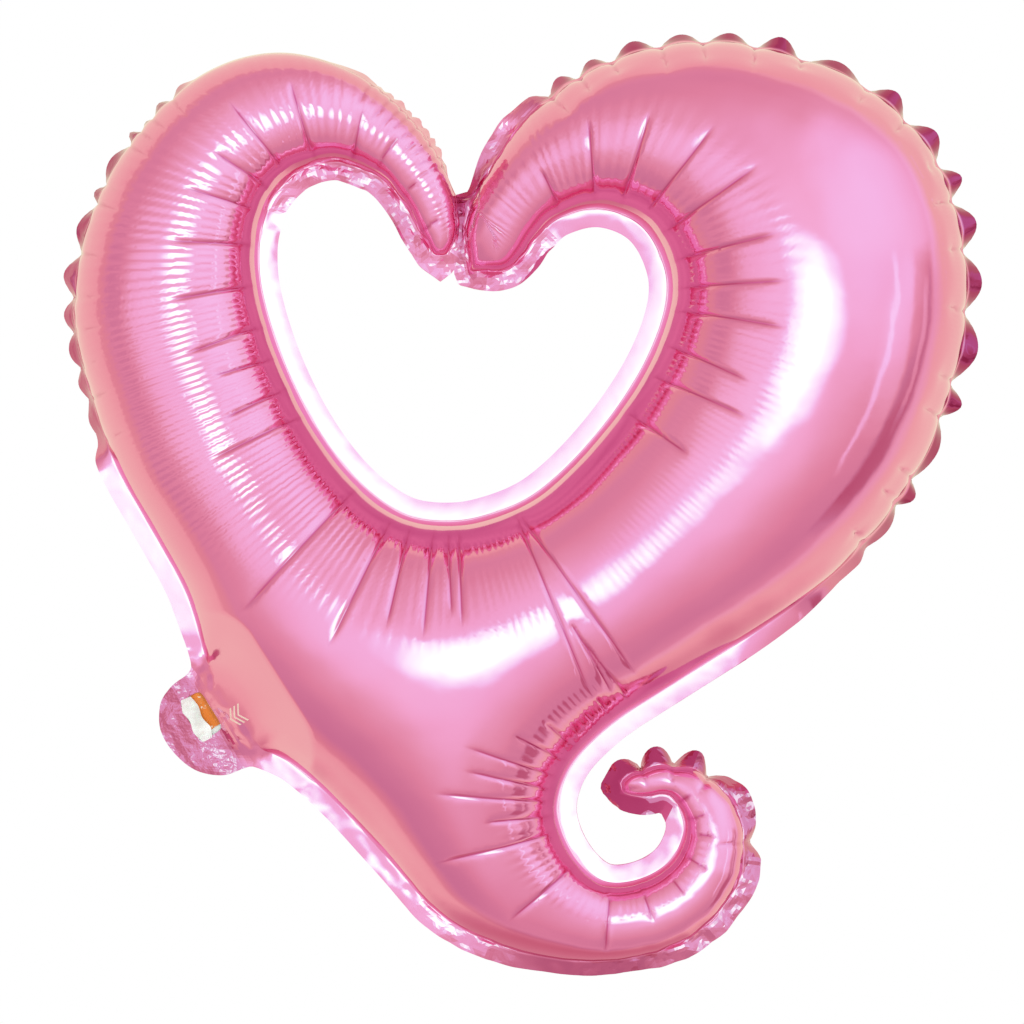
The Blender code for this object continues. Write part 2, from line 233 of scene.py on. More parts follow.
# Clear film: a darker painted shade of its crumples, and its milky white
CLEAR_FILM_SHADE_AND_WHITE = ((0.70, 0.64, 0.60), (0.97, 0.93, 0.91))
INK_COLOURS = ((0.84, 0.20, 0.01), (0.95, 0.80, 0.66))
INK_COVER = 0.66

# Crushed film: layers of (facet size, height, seed) on the margin, the tube beside it and the neck's tab
MARGIN_FACETS = [(9.0, 2.2, 17), (4.4, 1.0, 23)]
TUBE_FACETS = [(8.0, 0.6, 31), (4.0, 0.25, 37)]
EDGE_FACETS = [(7.0, 0.7, 11)]
# Facets are shaded flat where the margin is crushed more than this, and beyond this u and within this v
FACETED_CRUSH = 0.35
FACETED_NECK = (3.0, 36.0)
TAB_FACETS = [(11.0, 0.8, 3), (5.5, 0.5, 5)]
# Slow unevenness of the tube: (size, height, seed)
TUBE_SWELL = [(42.0, 0.35, 5.0), (15.0, 0.10, 9.0)]
# Distance over the tube from the seam where the unevenness and the crush are full, and where the crush fades
SWELL_FROM = 12.0
CRUSH_FROM = 4.0
CRUSH_REACH = 11.0

# Camera and light
CAMERA_DISTANCE = 2.2
FRAME_WIDTH = 0.465
CAMERA_SHIFT = (-0.0042, -0.0052)
SENSOR = 36.0
FLOOR_HALF = 1.6
FLOOR_DROP = 0.35
LAMP_PLACE = (0.9, 0.9, 0.1)
LAMP_SIZE = 0.7
LAMP_POWER = 14.0
# Brightness of the studio by the angle away from the camera's direction
ROUND_LEVEL = [(0, 1.18), (20, 1.08), (35, 0.90), (50, 0.76), (65, 0.62), (80, 0.56), (92, 0.60), (96, 0.80),
               (110, 0.90), (130, 0.98), (180, 0.95)]
# Soft panels: degrees right of the camera and above it, full inside one angle, gone outside the next, amount
PANELS = [
    (3, 3, 3, 17, 1.1), (12, 2, 3, 17, 1.1), (20, -1, 2, 12, 0.5), (-6, 6, 2, 14, 0.3),
    (58, 22, 8, 44, 0.42), (72, -6, 5, 22, 0.22), (40, 45, 5, 40, 0.12), (80, 35, 8, 40, 0.18),
    (-38, 5, 4, 26, 0.15), (-64, 6, 4, 20, -0.10), (-50, -45, 6, 38, -0.12), (45, -48, 6, 36, -0.08),
    (0, -125, 15, 42, -0.62), (-40, 40, 6, 34, -0.05),
]
# Upright strips: degrees right of the camera, half width, lowest and highest end in degrees, amount
STRIPS = [(83, 8, -42, 12, -0.34), (59, 1.6, -30, 12, 0.45), (86, 2.0, -22, 4, 0.30)]
BRIGHTEST = 4.0
# Colour of the studio by its brightness as a share of the brightest, ahead of the balloon and behind it
FRONT_COLOURS = [
    (0.00, (0.45, 0.10, 0.20)), (0.075, (0.59, 0.30, 0.37)), (0.113, (0.66, 0.45, 0.53)),
    (0.15, (0.81, 0.60, 0.62)), (0.19, (0.88, 0.76, 0.78)), (0.25, (0.98, 1.00, 1.09)),
    (0.30, (1.01, 1.20, 1.32)), (0.375, (1.04, 1.50, 1.60)), (0.65, (1.15, 2.60, 1.90)),
    (1.0, (1.6, 4.0, 3.0)),
]
BEHIND_COLOURS = [
    (0.00, (0.50, 0.12, 0.18)), (0.10, (0.70, 0.40, 0.42)), (0.19, (0.92, 0.78, 0.63)),
    (0.25, (0.95, 1.00, 0.72)), (0.60, (1.05, 1.30, 0.95)),
]
# Angle from the camera over which the one gives way to the other, and its turn toward the right
BEHIND_FROM = (87.0, 97.0)
BEHIND_TURN = 9.0


# ---------------------------------------------------------------- frame geometry

def joint(name):
    return next(j for j in frame["joints"] if j["name"] == name)


NECK_JOINT = joint("neck_fold")
CREASE_CENTRE = np.array([NECK_JOINT["pos_m"][0], NECK_JOINT["pos_m"][2]]) / MM
ACROSS = np.array([NECK_JOINT["axis"][0], NECK_JOINT["axis"][2]])
OUTWARD = np.array([ACROSS[1], -ACROSS[0]])


def neck_coordinates(points):
    """Neck coordinates u and v of points of the seam plane."""
    offset = points - CREASE_CENTRE
    return offset @ OUTWARD, offset @ ACROSS


def neck_point(u, v):
    return CREASE_CENTRE + u * OUTWARD + v * ACROSS


def tree_of(points):
    """Search tree of points of the seam plane."""
    tree = kdtree.KDTree(len(points))
    for i, (x, z) in enumerate(points):
        tree.insert((x, z, 0.0), i)
    tree.balance()
    return tree


def nearest_in(tree, points):
    """Index of the tree's nearest point and the distance to it, for each point."""
    found = [tree.find((x, z, 0.0)) for x, z in points]
    return np.array([f[1] for f in found]), np.array([f[2] for f in found])


def lattice(low, high, pitch):
    """Points of the seam plane in rows, each shifted half a pitch from the last."""
    columns = np.arange(low[0], high[0], pitch)
    levels = np.arange(low[1], high[1], pitch * math.sqrt(0.75))
    return np.array([(x + (j % 2) * pitch / 2, z) for j, z in enumerate(levels) for x in columns])


def doubled_area(flat, triangles):
    """Twice the area of each triangle, negative where it runs clockwise."""
    a, b, c = (flat[triangles[:, i]] for i in range(3))
    return (b[:, 0] - a[:, 0]) * (c[:, 1] - a[:, 1]) - (b[:, 1] - a[:, 1]) * (c[:, 0] - a[:, 0])


def counter_clockwise_faces(flat, triangles):
    return np.where((doubled_area(flat, triangles) > 0)[:, None], triangles, triangles[:, ::-1])


def node_triangles(name):
    """Corners of a CAD node's triangles, as an array (triangles, 3, 3)."""
    mesh = frame["nodes"][name].data
    mesh.calc_loop_triangles()
    places = np.array([v.co for v in mesh.vertices], float) / MM
    return places[np.array([t.vertices for t in mesh.loop_triangles])]


def chain(segments):
    """Joins segments of the seam plane end to end into polylines, longest first."""
    def key(point):
        return (round(float(point[0]), 2), round(float(point[1]), 2))
    links = {}
    for a, b in segments:
        if key(a) != key(b):
            links.setdefault(key(a), set()).add(key(b))
            links.setdefault(key(b), set()).add(key(a))
    lines = []
    while links:
        ends = sorted(k for k in links if len(links[k]) == 1)
        here = ends[0] if ends else min(links)
        line = [here]
        while links.get(here):
            following = min(links[here])
            links[here].discard(following)
            links[following].discard(here)
            here = following
            line.append(here)
        for k in [k for k in links if not links[k]]:
            del links[k]
        lines.append(np.array(line))
    return sorted(lines, key=len, reverse=True)


def cut_edges(name):
    """Cut edges of a front film node: the border of its inner face, which looks toward +Y."""
    uses = {}
    for corners in node_triangles(name):
        normal = np.cross(corners[1] - corners[0], corners[2] - corners[0])
        if normal[1] > 0.1 * np.linalg.norm(normal):
            for i in range(3):
                side = (corners[i], corners[(i + 1) % 3])
                key = tuple(sorted(tuple(np.round(end, 3)) for end in side))
                uses.setdefault(key, []).append(side)
    borders = [sides[0] for sides in uses.values() if len(sides) == 1]
    return chain([(a[[0, 2]], b[[0, 2]]) for a, b in borders])


def seam_line():
    """The heat seam: where the front panel's inner face leaves the flat margin and swells."""
    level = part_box("front_panel")[1].y / MM
    segments = []
    for corners in node_triangles("front_panel"):
        on_level = corners[:, 1] > level - 0.01
        if on_level.sum() == 2 and corners[~on_level, 1].min() < level - 1.0:
            a, b = corners[on_level][:, [0, 2]]
            segments.append((a, b))
    return chain(segments)[0]


def signed_area(loop):
    following = np.roll(loop, -1, axis=0)
    return 0.5 * float(np.sum(loop[:, 0] * following[:, 1] - following[:, 0] * loop[:, 1]))


def counter_clockwise(loop):
    return loop if signed_area(loop) > 0 else loop[::-1]


def smooth_line(points, spacing, closed, corners=0.9):
    """Even points along a smooth curve through the given points; bends sharper than corners stay sharp."""
    if closed:
        points = np.vstack([points[-1:], points, points[:2]])
    else:
        points = np.vstack([2 * points[:1] - points[1:2], points, 2 * points[-1:] - points[-2:-1]])
    dense = []
    for p0, p1, p2, p3 in zip(points, points[1:], points[2:], points[3:]):
        t01, t12, t23 = (math.sqrt(np.linalg.norm(b - a)) for a, b in ((p0, p1), (p1, p2), (p2, p3)))
        leave = p2 - p1 + t12 * ((p1 - p0) / t01 - (p2 - p0) / (t01 + t12))
        arrive = p2 - p1 + t12 * ((p3 - p2) / t23 - (p3 - p1) / (t12 + t23))
        for before, at, after, handle in ((p0, p1, p2, "leave"), (p1, p2, p3, "arrive")):
            a, b = at - before, after - at
            turn = abs(math.atan2(a[0] * b[1] - a[1] * b[0], float(a @ b)))
            if turn > corners and handle == "leave":
                leave = p2 - p1
            elif turn > corners:
                arrive = p2 - p1
        steps = max(2, int(np.linalg.norm(p2 - p1) / 0.4))
        t = np.arange(steps)[:, None] / steps
        dense.append(p1 + leave * t + (3 * (p2 - p1) - 2 * leave - arrive) * t ** 2
                     + (2 * (p1 - p2) + leave + arrive) * t ** 3)
    dense = np.vstack(dense + [points[-2][None]])
    along = np.concatenate([[0.0], np.cumsum(np.linalg.norm(np.diff(dense, axis=0), axis=1))])
    count = max(3, int(round(along[-1] / spacing)))
    places = np.linspace(0.0, along[-1], count, endpoint=not closed)
    return np.column_stack([np.interp(places, along, dense[:, i]) for i in (0, 1)])


def is_inside(points, loop):
    """True for each point inside the closed loop."""
    x1, z1 = loop[:, 0], loop[:, 1]
    x2, z2 = np.roll(x1, -1), np.roll(z1, -1)
    rise = np.where(z2 == z1, 1.0, z2 - z1)
    slope = (x2 - x1) / rise
    inside = np.zeros(len(points), bool)
    for first in range(0, len(points), 4000):
        x, z = points[first:first + 4000, :1], points[first:first + 4000, 1:]
        spans = (z1 > z) != (z2 > z)
        inside[first:first + 4000] = np.count_nonzero(spans & (x < x1 + (z - z1) * slope), axis=1) % 2 == 1
    return inside


class Seam:
    """The closed seam, counter-clockwise, measured from the lower corner of the neck's mouth."""

    def __init__(self, line):
        loop = counter_clockwise(line)
        mouth_gap = np.linalg.norm(np.roll(loop, -1, axis=0) - loop, axis=1)
        last = int(np.argmax(mouth_gap))
        opened = np.roll(loop, -last - 1, axis=0)
        fine = smooth_line(opened, FINE_STEP, closed=False)
        fine_mouth = np.linspace(fine[-1], fine[0], 120)[1:-1]
        self.mouth_from = len(fine)
        self.fine = np.vstack([fine, fine_mouth])
        self.kept = np.arange(0, self.mouth_from - SEAM_STRIDE // 2, SEAM_STRIDE)
        mouth = np.linspace(fine[-1], fine[0], 12)[:-1]
        self.loop = np.vstack([self.fine[self.kept], mouth])
        tangent = np.roll(self.fine, -1, axis=0) - np.roll(self.fine, 1, axis=0)
        tangent /= np.linalg.norm(tangent, axis=1)[:, None]
        self.normal = np.column_stack([tangent[:, 1], -tangent[:, 0]])
        step = np.linalg.norm(np.diff(self.fine, axis=0), axis=1)
        self.station = np.concatenate([[0.0], np.cumsum(step)])
        self.tree = tree_of(self.fine)

    def nearest(self, points):
        """Index of the nearest fine seam point and the distance, for each point."""
        return nearest_in(self.tree, points)

    def index_at(self, station):
        return int(np.searchsorted(self.station, station))


def round_off(loop):
    """The points of a convex-ish loop or arc in order round its middle, without doubled ones."""
    u, v = neck_coordinates(loop)
    order = np.argsort(np.arctan2(v - v.mean(), u - min(u.mean(), u.min() + 6.0)))
    kept = []
    for i in order:
        if not kept or np.linalg.norm(loop[i] - loop[kept[-1]]) > 1.5:
            kept.append(i)
    return loop[kept]


def film_outline():
    """Cut loops of one whole film: the envelope with its neck tab, the heart's opening, and the slot."""
    panel = cut_edges("front_panel")
    outer, opening = panel[0][:-1], panel[1][:-1]
    tab, slot = cut_edges("neck_front_ply")[:2]
    u, v = neck_coordinates(outer)
    crease = np.flatnonzero((u > u.max() - 0.01) & (np.abs(v) < NECK_SIDE))
    outer = counter_clockwise(np.roll(outer, -crease[0], axis=0))
    u, v = neck_coordinates(outer)
    envelope_part = ~((u > u.max() - 0.01) & (np.abs(v) < NECK_SIDE))
    start = int(np.argmax(envelope_part & ~np.roll(envelope_part, 1)))
    outer = np.roll(outer, -start, axis=0)[:envelope_part.sum()]
    u, _ = neck_coordinates(tab)
    edge = round_off(tab[u > u.min() + 0.01])
    if np.linalg.norm(outer[-1] - edge[0]) > np.linalg.norm(outer[-1] - edge[-1]):
        edge = edge[::-1]
    slot = round_off(slot)
    return (smooth_line(np.vstack([outer, edge]), CUT_SPACING, closed=True),
            smooth_line(opening, CUT_SPACING, closed=True),
            smooth_line(slot, 1.0, closed=True, corners=1.2))


# ---------------------------------------------------------------- noise

NOISE_COUNT = 4096
NOISE_TABLE = np.random.default_rng(7).uniform(-1.0, 1.0, NOISE_COUNT)


def facets(points, size, seed):
    """Noise from -1 to 1 made of flat triangular facets, as crushed film has."""
    warp = 0.3 * size * np.sin(points[:, ::-1] / (1.3 * size) + seed)
    x, z = (points + warp).T / size
    a = x - z / math.sqrt(3.0)
    b = 2.0 * z / math.sqrt(3.0)
    ia, ib = np.floor(a).astype(int), np.floor(b).astype(int)
    fa, fb = a - ia, b - ib
    upper = fa + fb > 1.0

    def value(da, db):
        return NOISE_TABLE[((ia + da) * 57 + (ib + db) * 1031 + seed * 97) % NOISE_COUNT]

    near = np.where(upper, value(1, 1), value(0, 0))
    weight = np.where(upper, fa + fb - 1.0, 1.0 - fa - fb)
    return (near * weight + value(1, 0) * np.where(upper, 1.0 - fb, fa)
            + value(0, 1) * np.where(upper, 1.0 - fa, fb))


def crumple(points, layers, seed=0):
    """Crushed film: facets of several sizes, from layers of (size, height, own seed)."""
    return sum(height * facets(points, size, own + seed) for size, height, own in layers)


def swell(points, size, seed):
    """Smooth noise, about -1 to 1."""
    return np.array([noise.noise((x / size, z / size, seed)) for x, z in points]) * 1.6


def ease(value, low, high):
    """0 below low, 1 above high, smooth between."""
    t = np.clip((value - low) / (high - low), 0.0, 1.0)
    return t * t * (3.0 - 2.0 * t)


def band(value, rise, fall):
    """1 between the rise and the fall, 0 outside them; each is a pair of numbers it is smooth between."""
    return ease(value, *rise) * (1.0 - ease(value, *fall))


# ---------------------------------------------------------------- creases

class Crease:
    """A valley along a line of the seam plane."""

    def __init__(self, line, depth, width=1.0, pillow=5.0, start=0.03, fade=0.8, at_edge=False, groove=0.65):
        self.line = np.array(line, float)
        self.depth, self.width, self.pillow = depth, width, pillow
        self.start, self.fade, self.at_edge, self.groove = start, fade, at_edge, groove
        steps = np.linalg.norm(np.diff(self.line, axis=0), axis=1)
        self.along = np.concatenate([[0.0], np.cumsum(steps)])
        self.length = self.along[-1]

    def valley(self, points):
        """How far the crease pulls each point in, and where its bottom is, which is given painted shade."""
        reach = 5.0 * self.pillow
        low, high = self.line.min(0) - reach, self.line.max(0) + reach
        near = np.flatnonzero(np.all((points > low) & (points < high), axis=1))
        best = np.full(len(near), 1e9)
        place = np.zeros(len(near))
        for a, b, begin in zip(self.line, self.line[1:], self.along):
            length = np.linalg.norm(b - a)
            direction = (b - a) / length
            offset = points[near] - a
            t = np.clip(offset @ direction, 0.0, length)
            apart = np.linalg.norm(offset - t[:, None] * direction, axis=1)
            closer = apart < best
            best[closer] = apart[closer]
            place[closer] = begin + t[closer]
        share = place / self.length
        profile = self.groove * np.exp(-(best / self.width) ** 1.5)
        profile += (1.0 - self.groove) * np.exp(-best / self.pillow)
        rise = ease(share, -0.01, self.start) * (1.0 - ease(share, self.fade, 1.02))
        depth = np.zeros(len(points))
        depth[near] = self.depth * profile * rise
        bottom = np.zeros(len(points))
        bottom[near] = (1.0 - ease(best, 0.15, 0.95)) * rise
        return depth, bottom

    def rows(self):
        """Mesh points along the crease, so that its bottom is a clean line."""
        count = max(3, int(self.length / 1.6))
        place = np.linspace(0.0, self.length, count)
        middle = np.column_stack([np.interp(place, self.along, self.line[:, i]) for i in (0, 1)])
        tangent = np.gradient(middle, axis=0)
        tangent /= np.linalg.norm(tangent, axis=1)[:, None]
        side = np.column_stack([-tangent[:, 1], tangent[:, 0]])
        return [middle + shift * side for shift in (0.0, -0.7, 0.7, -1.6, 1.6)]


def crease_lines():
    random = np.random.default_rng(21)
    creases = []
    for first, rows, depth in ((RIGHT_TIP, OPENING_CREASES, 1.5), (TAIL_TIP, TAIL_CREASES, 1.2)):
        for station, length in rows:
            i = seam.index_at(first + station)
            inward = -seam.normal[i]
            turn = math.radians(random.uniform(-5.0, 5.0))
            direction = np.array([inward[0] * math.cos(turn) - inward[1] * math.sin(turn),
                                  inward[0] * math.sin(turn) + inward[1] * math.cos(turn)])
            root = seam.fine[i]
            size = depth * random.uniform(0.75, 1.15) * min(1.0, 0.35 + length / 45.0)
            creases.append(Crease([root, root + direction * length * CREASE_STRETCH], size))
    for line, size in LONG_CREASES:
        creases.append(Crease(line, size, start=0.01, fade=0.85))
    for station in CUSPS:
        i = seam.index_at(station)
        length = random.uniform(9.0, 16.0)
        size, pillow, groove = (2.4, 6.0, 0.3) if station in RIGHT_CUSPS else (0.6, 3.0, 0.65)
        creases.append(Crease([seam.fine[i], seam.fine[i] - seam.normal[i] * length], size, width=0.8,
                              pillow=pillow, start=0.0, fade=0.5, at_edge=True, groove=groove))
    return creases


# ---------------------------------------------------------------- film mesh

def ring(depth):
    """Points at one depth inside the seam, or outside if it is negative, where no other seam is nearer."""
    points = seam.fine[seam.kept] - seam.normal[seam.kept] * depth
    _, distance = seam.nearest(points)
    return points[(distance > 0.985 * abs(depth)) & (is_inside(points, seam.loop) == (depth > 0.0))]


def film_mesh(outer, opening, slot, creases):
    """Points and triangles of one film in the seam plane."""
    constraints = []
    points = []
    for loop in (seam.loop, outer, opening, slot):
        start = sum(len(p) for p in points)
        points.append(loop)
        constraints += [(start + i, start + (i + 1) % len(loop)) for i in range(len(loop))]

    def in_film(candidates):
        return is_inside(candidates, outer) & ~is_inside(candidates, opening)

    for k in range(1, RIM_RINGS + 1):
        points.append(ring(RIM_ARC ** 2 * k ** 2 / (2.0 * RIM_RADIUS)))
    deepest = RIM_ARC ** 2 * RIM_RINGS ** 2 / (2.0 * RIM_RADIUS)
    margin = np.vstack([ring(-depth) for depth in MARGIN_RINGS])
    margin = margin[in_film(margin)]
    _, off_border = nearest_in(tree_of(np.vstack([outer, opening, slot])), margin)
    points.append(margin[off_border > BORDER_GAP])
    rows = np.vstack([row for crease in creases for row in crease.rows()])
    _, depth = seam.nearest(rows)
    rows = rows[is_inside(rows, seam.loop) & (depth > deepest + 0.5)]
    points.append(thin_out(rows, ROW_GAP))
    grid = lattice(outer.min(0), outer.max(0), LATTICE)
    grid = grid[in_film(grid)]
    _, apart = nearest_in(tree_of(np.vstack(points)), grid)
    _, distance = seam.nearest(grid)
    past_rings = np.where(is_inside(grid, seam.loop), distance > deepest + 0.3 * LATTICE, distance > 0.9)
    points.append(grid[(apart > 0.62 * LATTICE) & past_rings])
    everything = np.vstack(points)
    result = delaunay_2d_cdt([Vector(p) for p in everything], constraints, [], 0, 1e-5)
    flat = np.array([tuple(v) for v in result[0]])
    triangles = np.array([t for t in result[2] if len(t) == 3])
    middles = flat[triangles].mean(axis=1)
    triangles = counter_clockwise_faces(flat, triangles[in_film(middles)])
    triangles = triangles[doubled_area(flat, triangles) > 1e-7]
    used = np.unique(triangles)
    renumber = np.full(len(flat), -1)
    renumber[used] = np.arange(len(used))
    return flat[used], renumber[triangles]


def thin_out(points, gap):
    """The points with none closer together than the gap, earlier ones first."""
    cells = {}
    kept = []
    for i, (x, z) in enumerate(points):
        column_of, row_of = int(x // gap), int(z // gap)
        around = [j for dx in (-1, 0, 1) for dz in (-1, 0, 1)
                  for j in cells.get((column_of + dx, row_of + dz), ())]
        if all((points[j][0] - x) ** 2 + (points[j][1] - z) ** 2 >= gap * gap for j in around):
            cells.setdefault((column_of, row_of), []).append(i)
            kept.append(i)
    return points[kept]


def inflate(points, triangles, swelling):
    """Swell height of a sheet held at the seam: a long strip of it takes a round section."""
    corners = points[triangles]
    inner = swelling[triangles].any(axis=1) & is_inside(corners.mean(axis=1), seam.loop)
    triangles, corners = triangles[inner], corners[inner]
    count = len(points)
    load = np.zeros(count)
    starts, ends, weights = [], [], []
    sides = [corners[:, (i + 2) % 3] - corners[:, (i + 1) % 3] for i in range(3)]
    double = np.abs(sides[0][:, 0] * sides[1][:, 1] - sides[0][:, 1] * sides[1][:, 0])
    for i in range(3):
        j, k = (i + 1) % 3, (i + 2) % 3
        starts.append(triangles[:, j])
        ends.append(triangles[:, k])
        weights.append(-np.sum(sides[j] * sides[k], axis=1) / (2.0 * double))
        load += np.bincount(triangles[:, i], double / 6.0, count)
    starts, ends, weights = np.concatenate(starts), np.concatenate(ends), np.concatenate(weights)
    diagonal = np.bincount(starts, weights, count) + np.bincount(ends, weights, count)
    free = swelling & (diagonal > 0)
    load = np.where(free, load, 0.0)
    preconditioner = np.where(free, 1.0 / np.where(diagonal > 0, diagonal, 1.0), 0.0)

    def stiffness(values):
        flow = weights * (values[starts] - values[ends])
        return np.where(free, np.bincount(starts, flow, count) - np.bincount(ends, flow, count), 0.0)

    solution = np.zeros(count)
    residual = load.copy()
    scaled = preconditioner * residual
    direction = scaled.copy()
    energy = residual @ scaled
    target = 1e-8 * energy
    for _ in range(4000):
        pushed = stiffness(direction)
        step = energy / (direction @ pushed)
        solution += step * direction
        residual -= step * pushed
        scaled = preconditioner * residual
        following = residual @ scaled
        if following < target:
            break
        direction = scaled + following / energy * direction
        energy = following
    return np.sqrt(2.0 * np.maximum(solution, 0.0))


def vertex_normals(places, triangles):
    a, b, c = (places[triangles[:, i]] for i in range(3))
    faces = np.cross(b - a, c - a)
    faces /= np.maximum(np.linalg.norm(faces, axis=1), 1e-12)[:, None]
    angles = []
    for p, q, r in ((a, b, c), (b, c, a), (c, a, b)):
        one, two = q - p, r - p
        cosine = np.sum(one * two, axis=1)
        cosine /= np.maximum(np.linalg.norm(one, axis=1) * np.linalg.norm(two, axis=1), 1e-12)
        angles.append(np.arccos(np.clip(cosine, -1.0, 1.0)))
    normals = np.zeros_like(places)
    for corner, angle in zip(triangles.T, angles):
        for axis in range(3):
            normals[:, axis] += np.bincount(corner, faces[:, axis] * angle, len(places))
    return normals / np.maximum(np.linalg.norm(normals, axis=1), 1e-12)[:, None]


# ---------------------------------------------------------------- margin

def column(rows, number, stations):
    """One column of a table whose first column is the station, read between its rows."""
    return np.interp(stations, [row[0] for row in rows], [row[number] for row in rows])


def dome(stations):
    """0 at the cusps of the scallops and 1 between them, where the seam has scallops; elsewhere 1."""
    cusps = np.array(CUSPS)
    after = np.searchsorted(cusps, stations)
    before = np.clip(after - 1, 0, len(cusps) - 1)
    after = np.clip(after, 0, len(cusps) - 1)
    span = cusps[after] - cusps[before]
    share = np.where(span > 0, (stations - cusps[before]) / np.maximum(span, 1), 0.5)
    arch = np.sin(np.pi * np.clip(share, 0.0, 1.0))
    linked = (span > 0) & (span < LONGEST_LOBE)
    lone = np.minimum(np.abs(stations - cusps[before]), np.abs(stations - cusps[after]))
    return np.where(linked, arch, ease(lone, 0.0, 8.0))


# ---------------------------------------------------------------- films

def channel_lift(u, v):
    """How far each neck film stands off the seam plane to make room for the valve."""
    across = 1.0 - ease(np.abs(v), CHANNEL_HALF, CHANNEL_EDGE)
    return CHANNEL_LIFT * across * band(u, CHANNEL_RISE, CHANNEL_FALL)


def neck_bulge(u, v):
    """How far each film stands out over the gas in the neck's throat, down to the slot."""
    along = ease(u, *BULGE_RISE) * (1.0 - np.clip((u - BULGE_FROM) / (BULGE_TO - BULGE_FROM), 0.0, 1.0))
    return NECK_BULGE * along * np.clip(1.0 - (v / BULGE_HALF) ** 2, 0.0, 1.0)


def tab_wave(points):
    """Crush of the neck tab, shared by the films and everything between them."""
    u, v = neck_coordinates(points)
    at_neck = ease(u, *TAB_RISE) * (1.0 - ease(np.abs(v), *TAB_SIDE))
    crush = TAB_WAVE * (crumple(points, TAB_FACETS) + 0.4 * swell(points, 16.0, 2.0))
    return at_neck * (crush + TAB_LEAN * np.maximum(u - LEAN_FROM, 0.0))


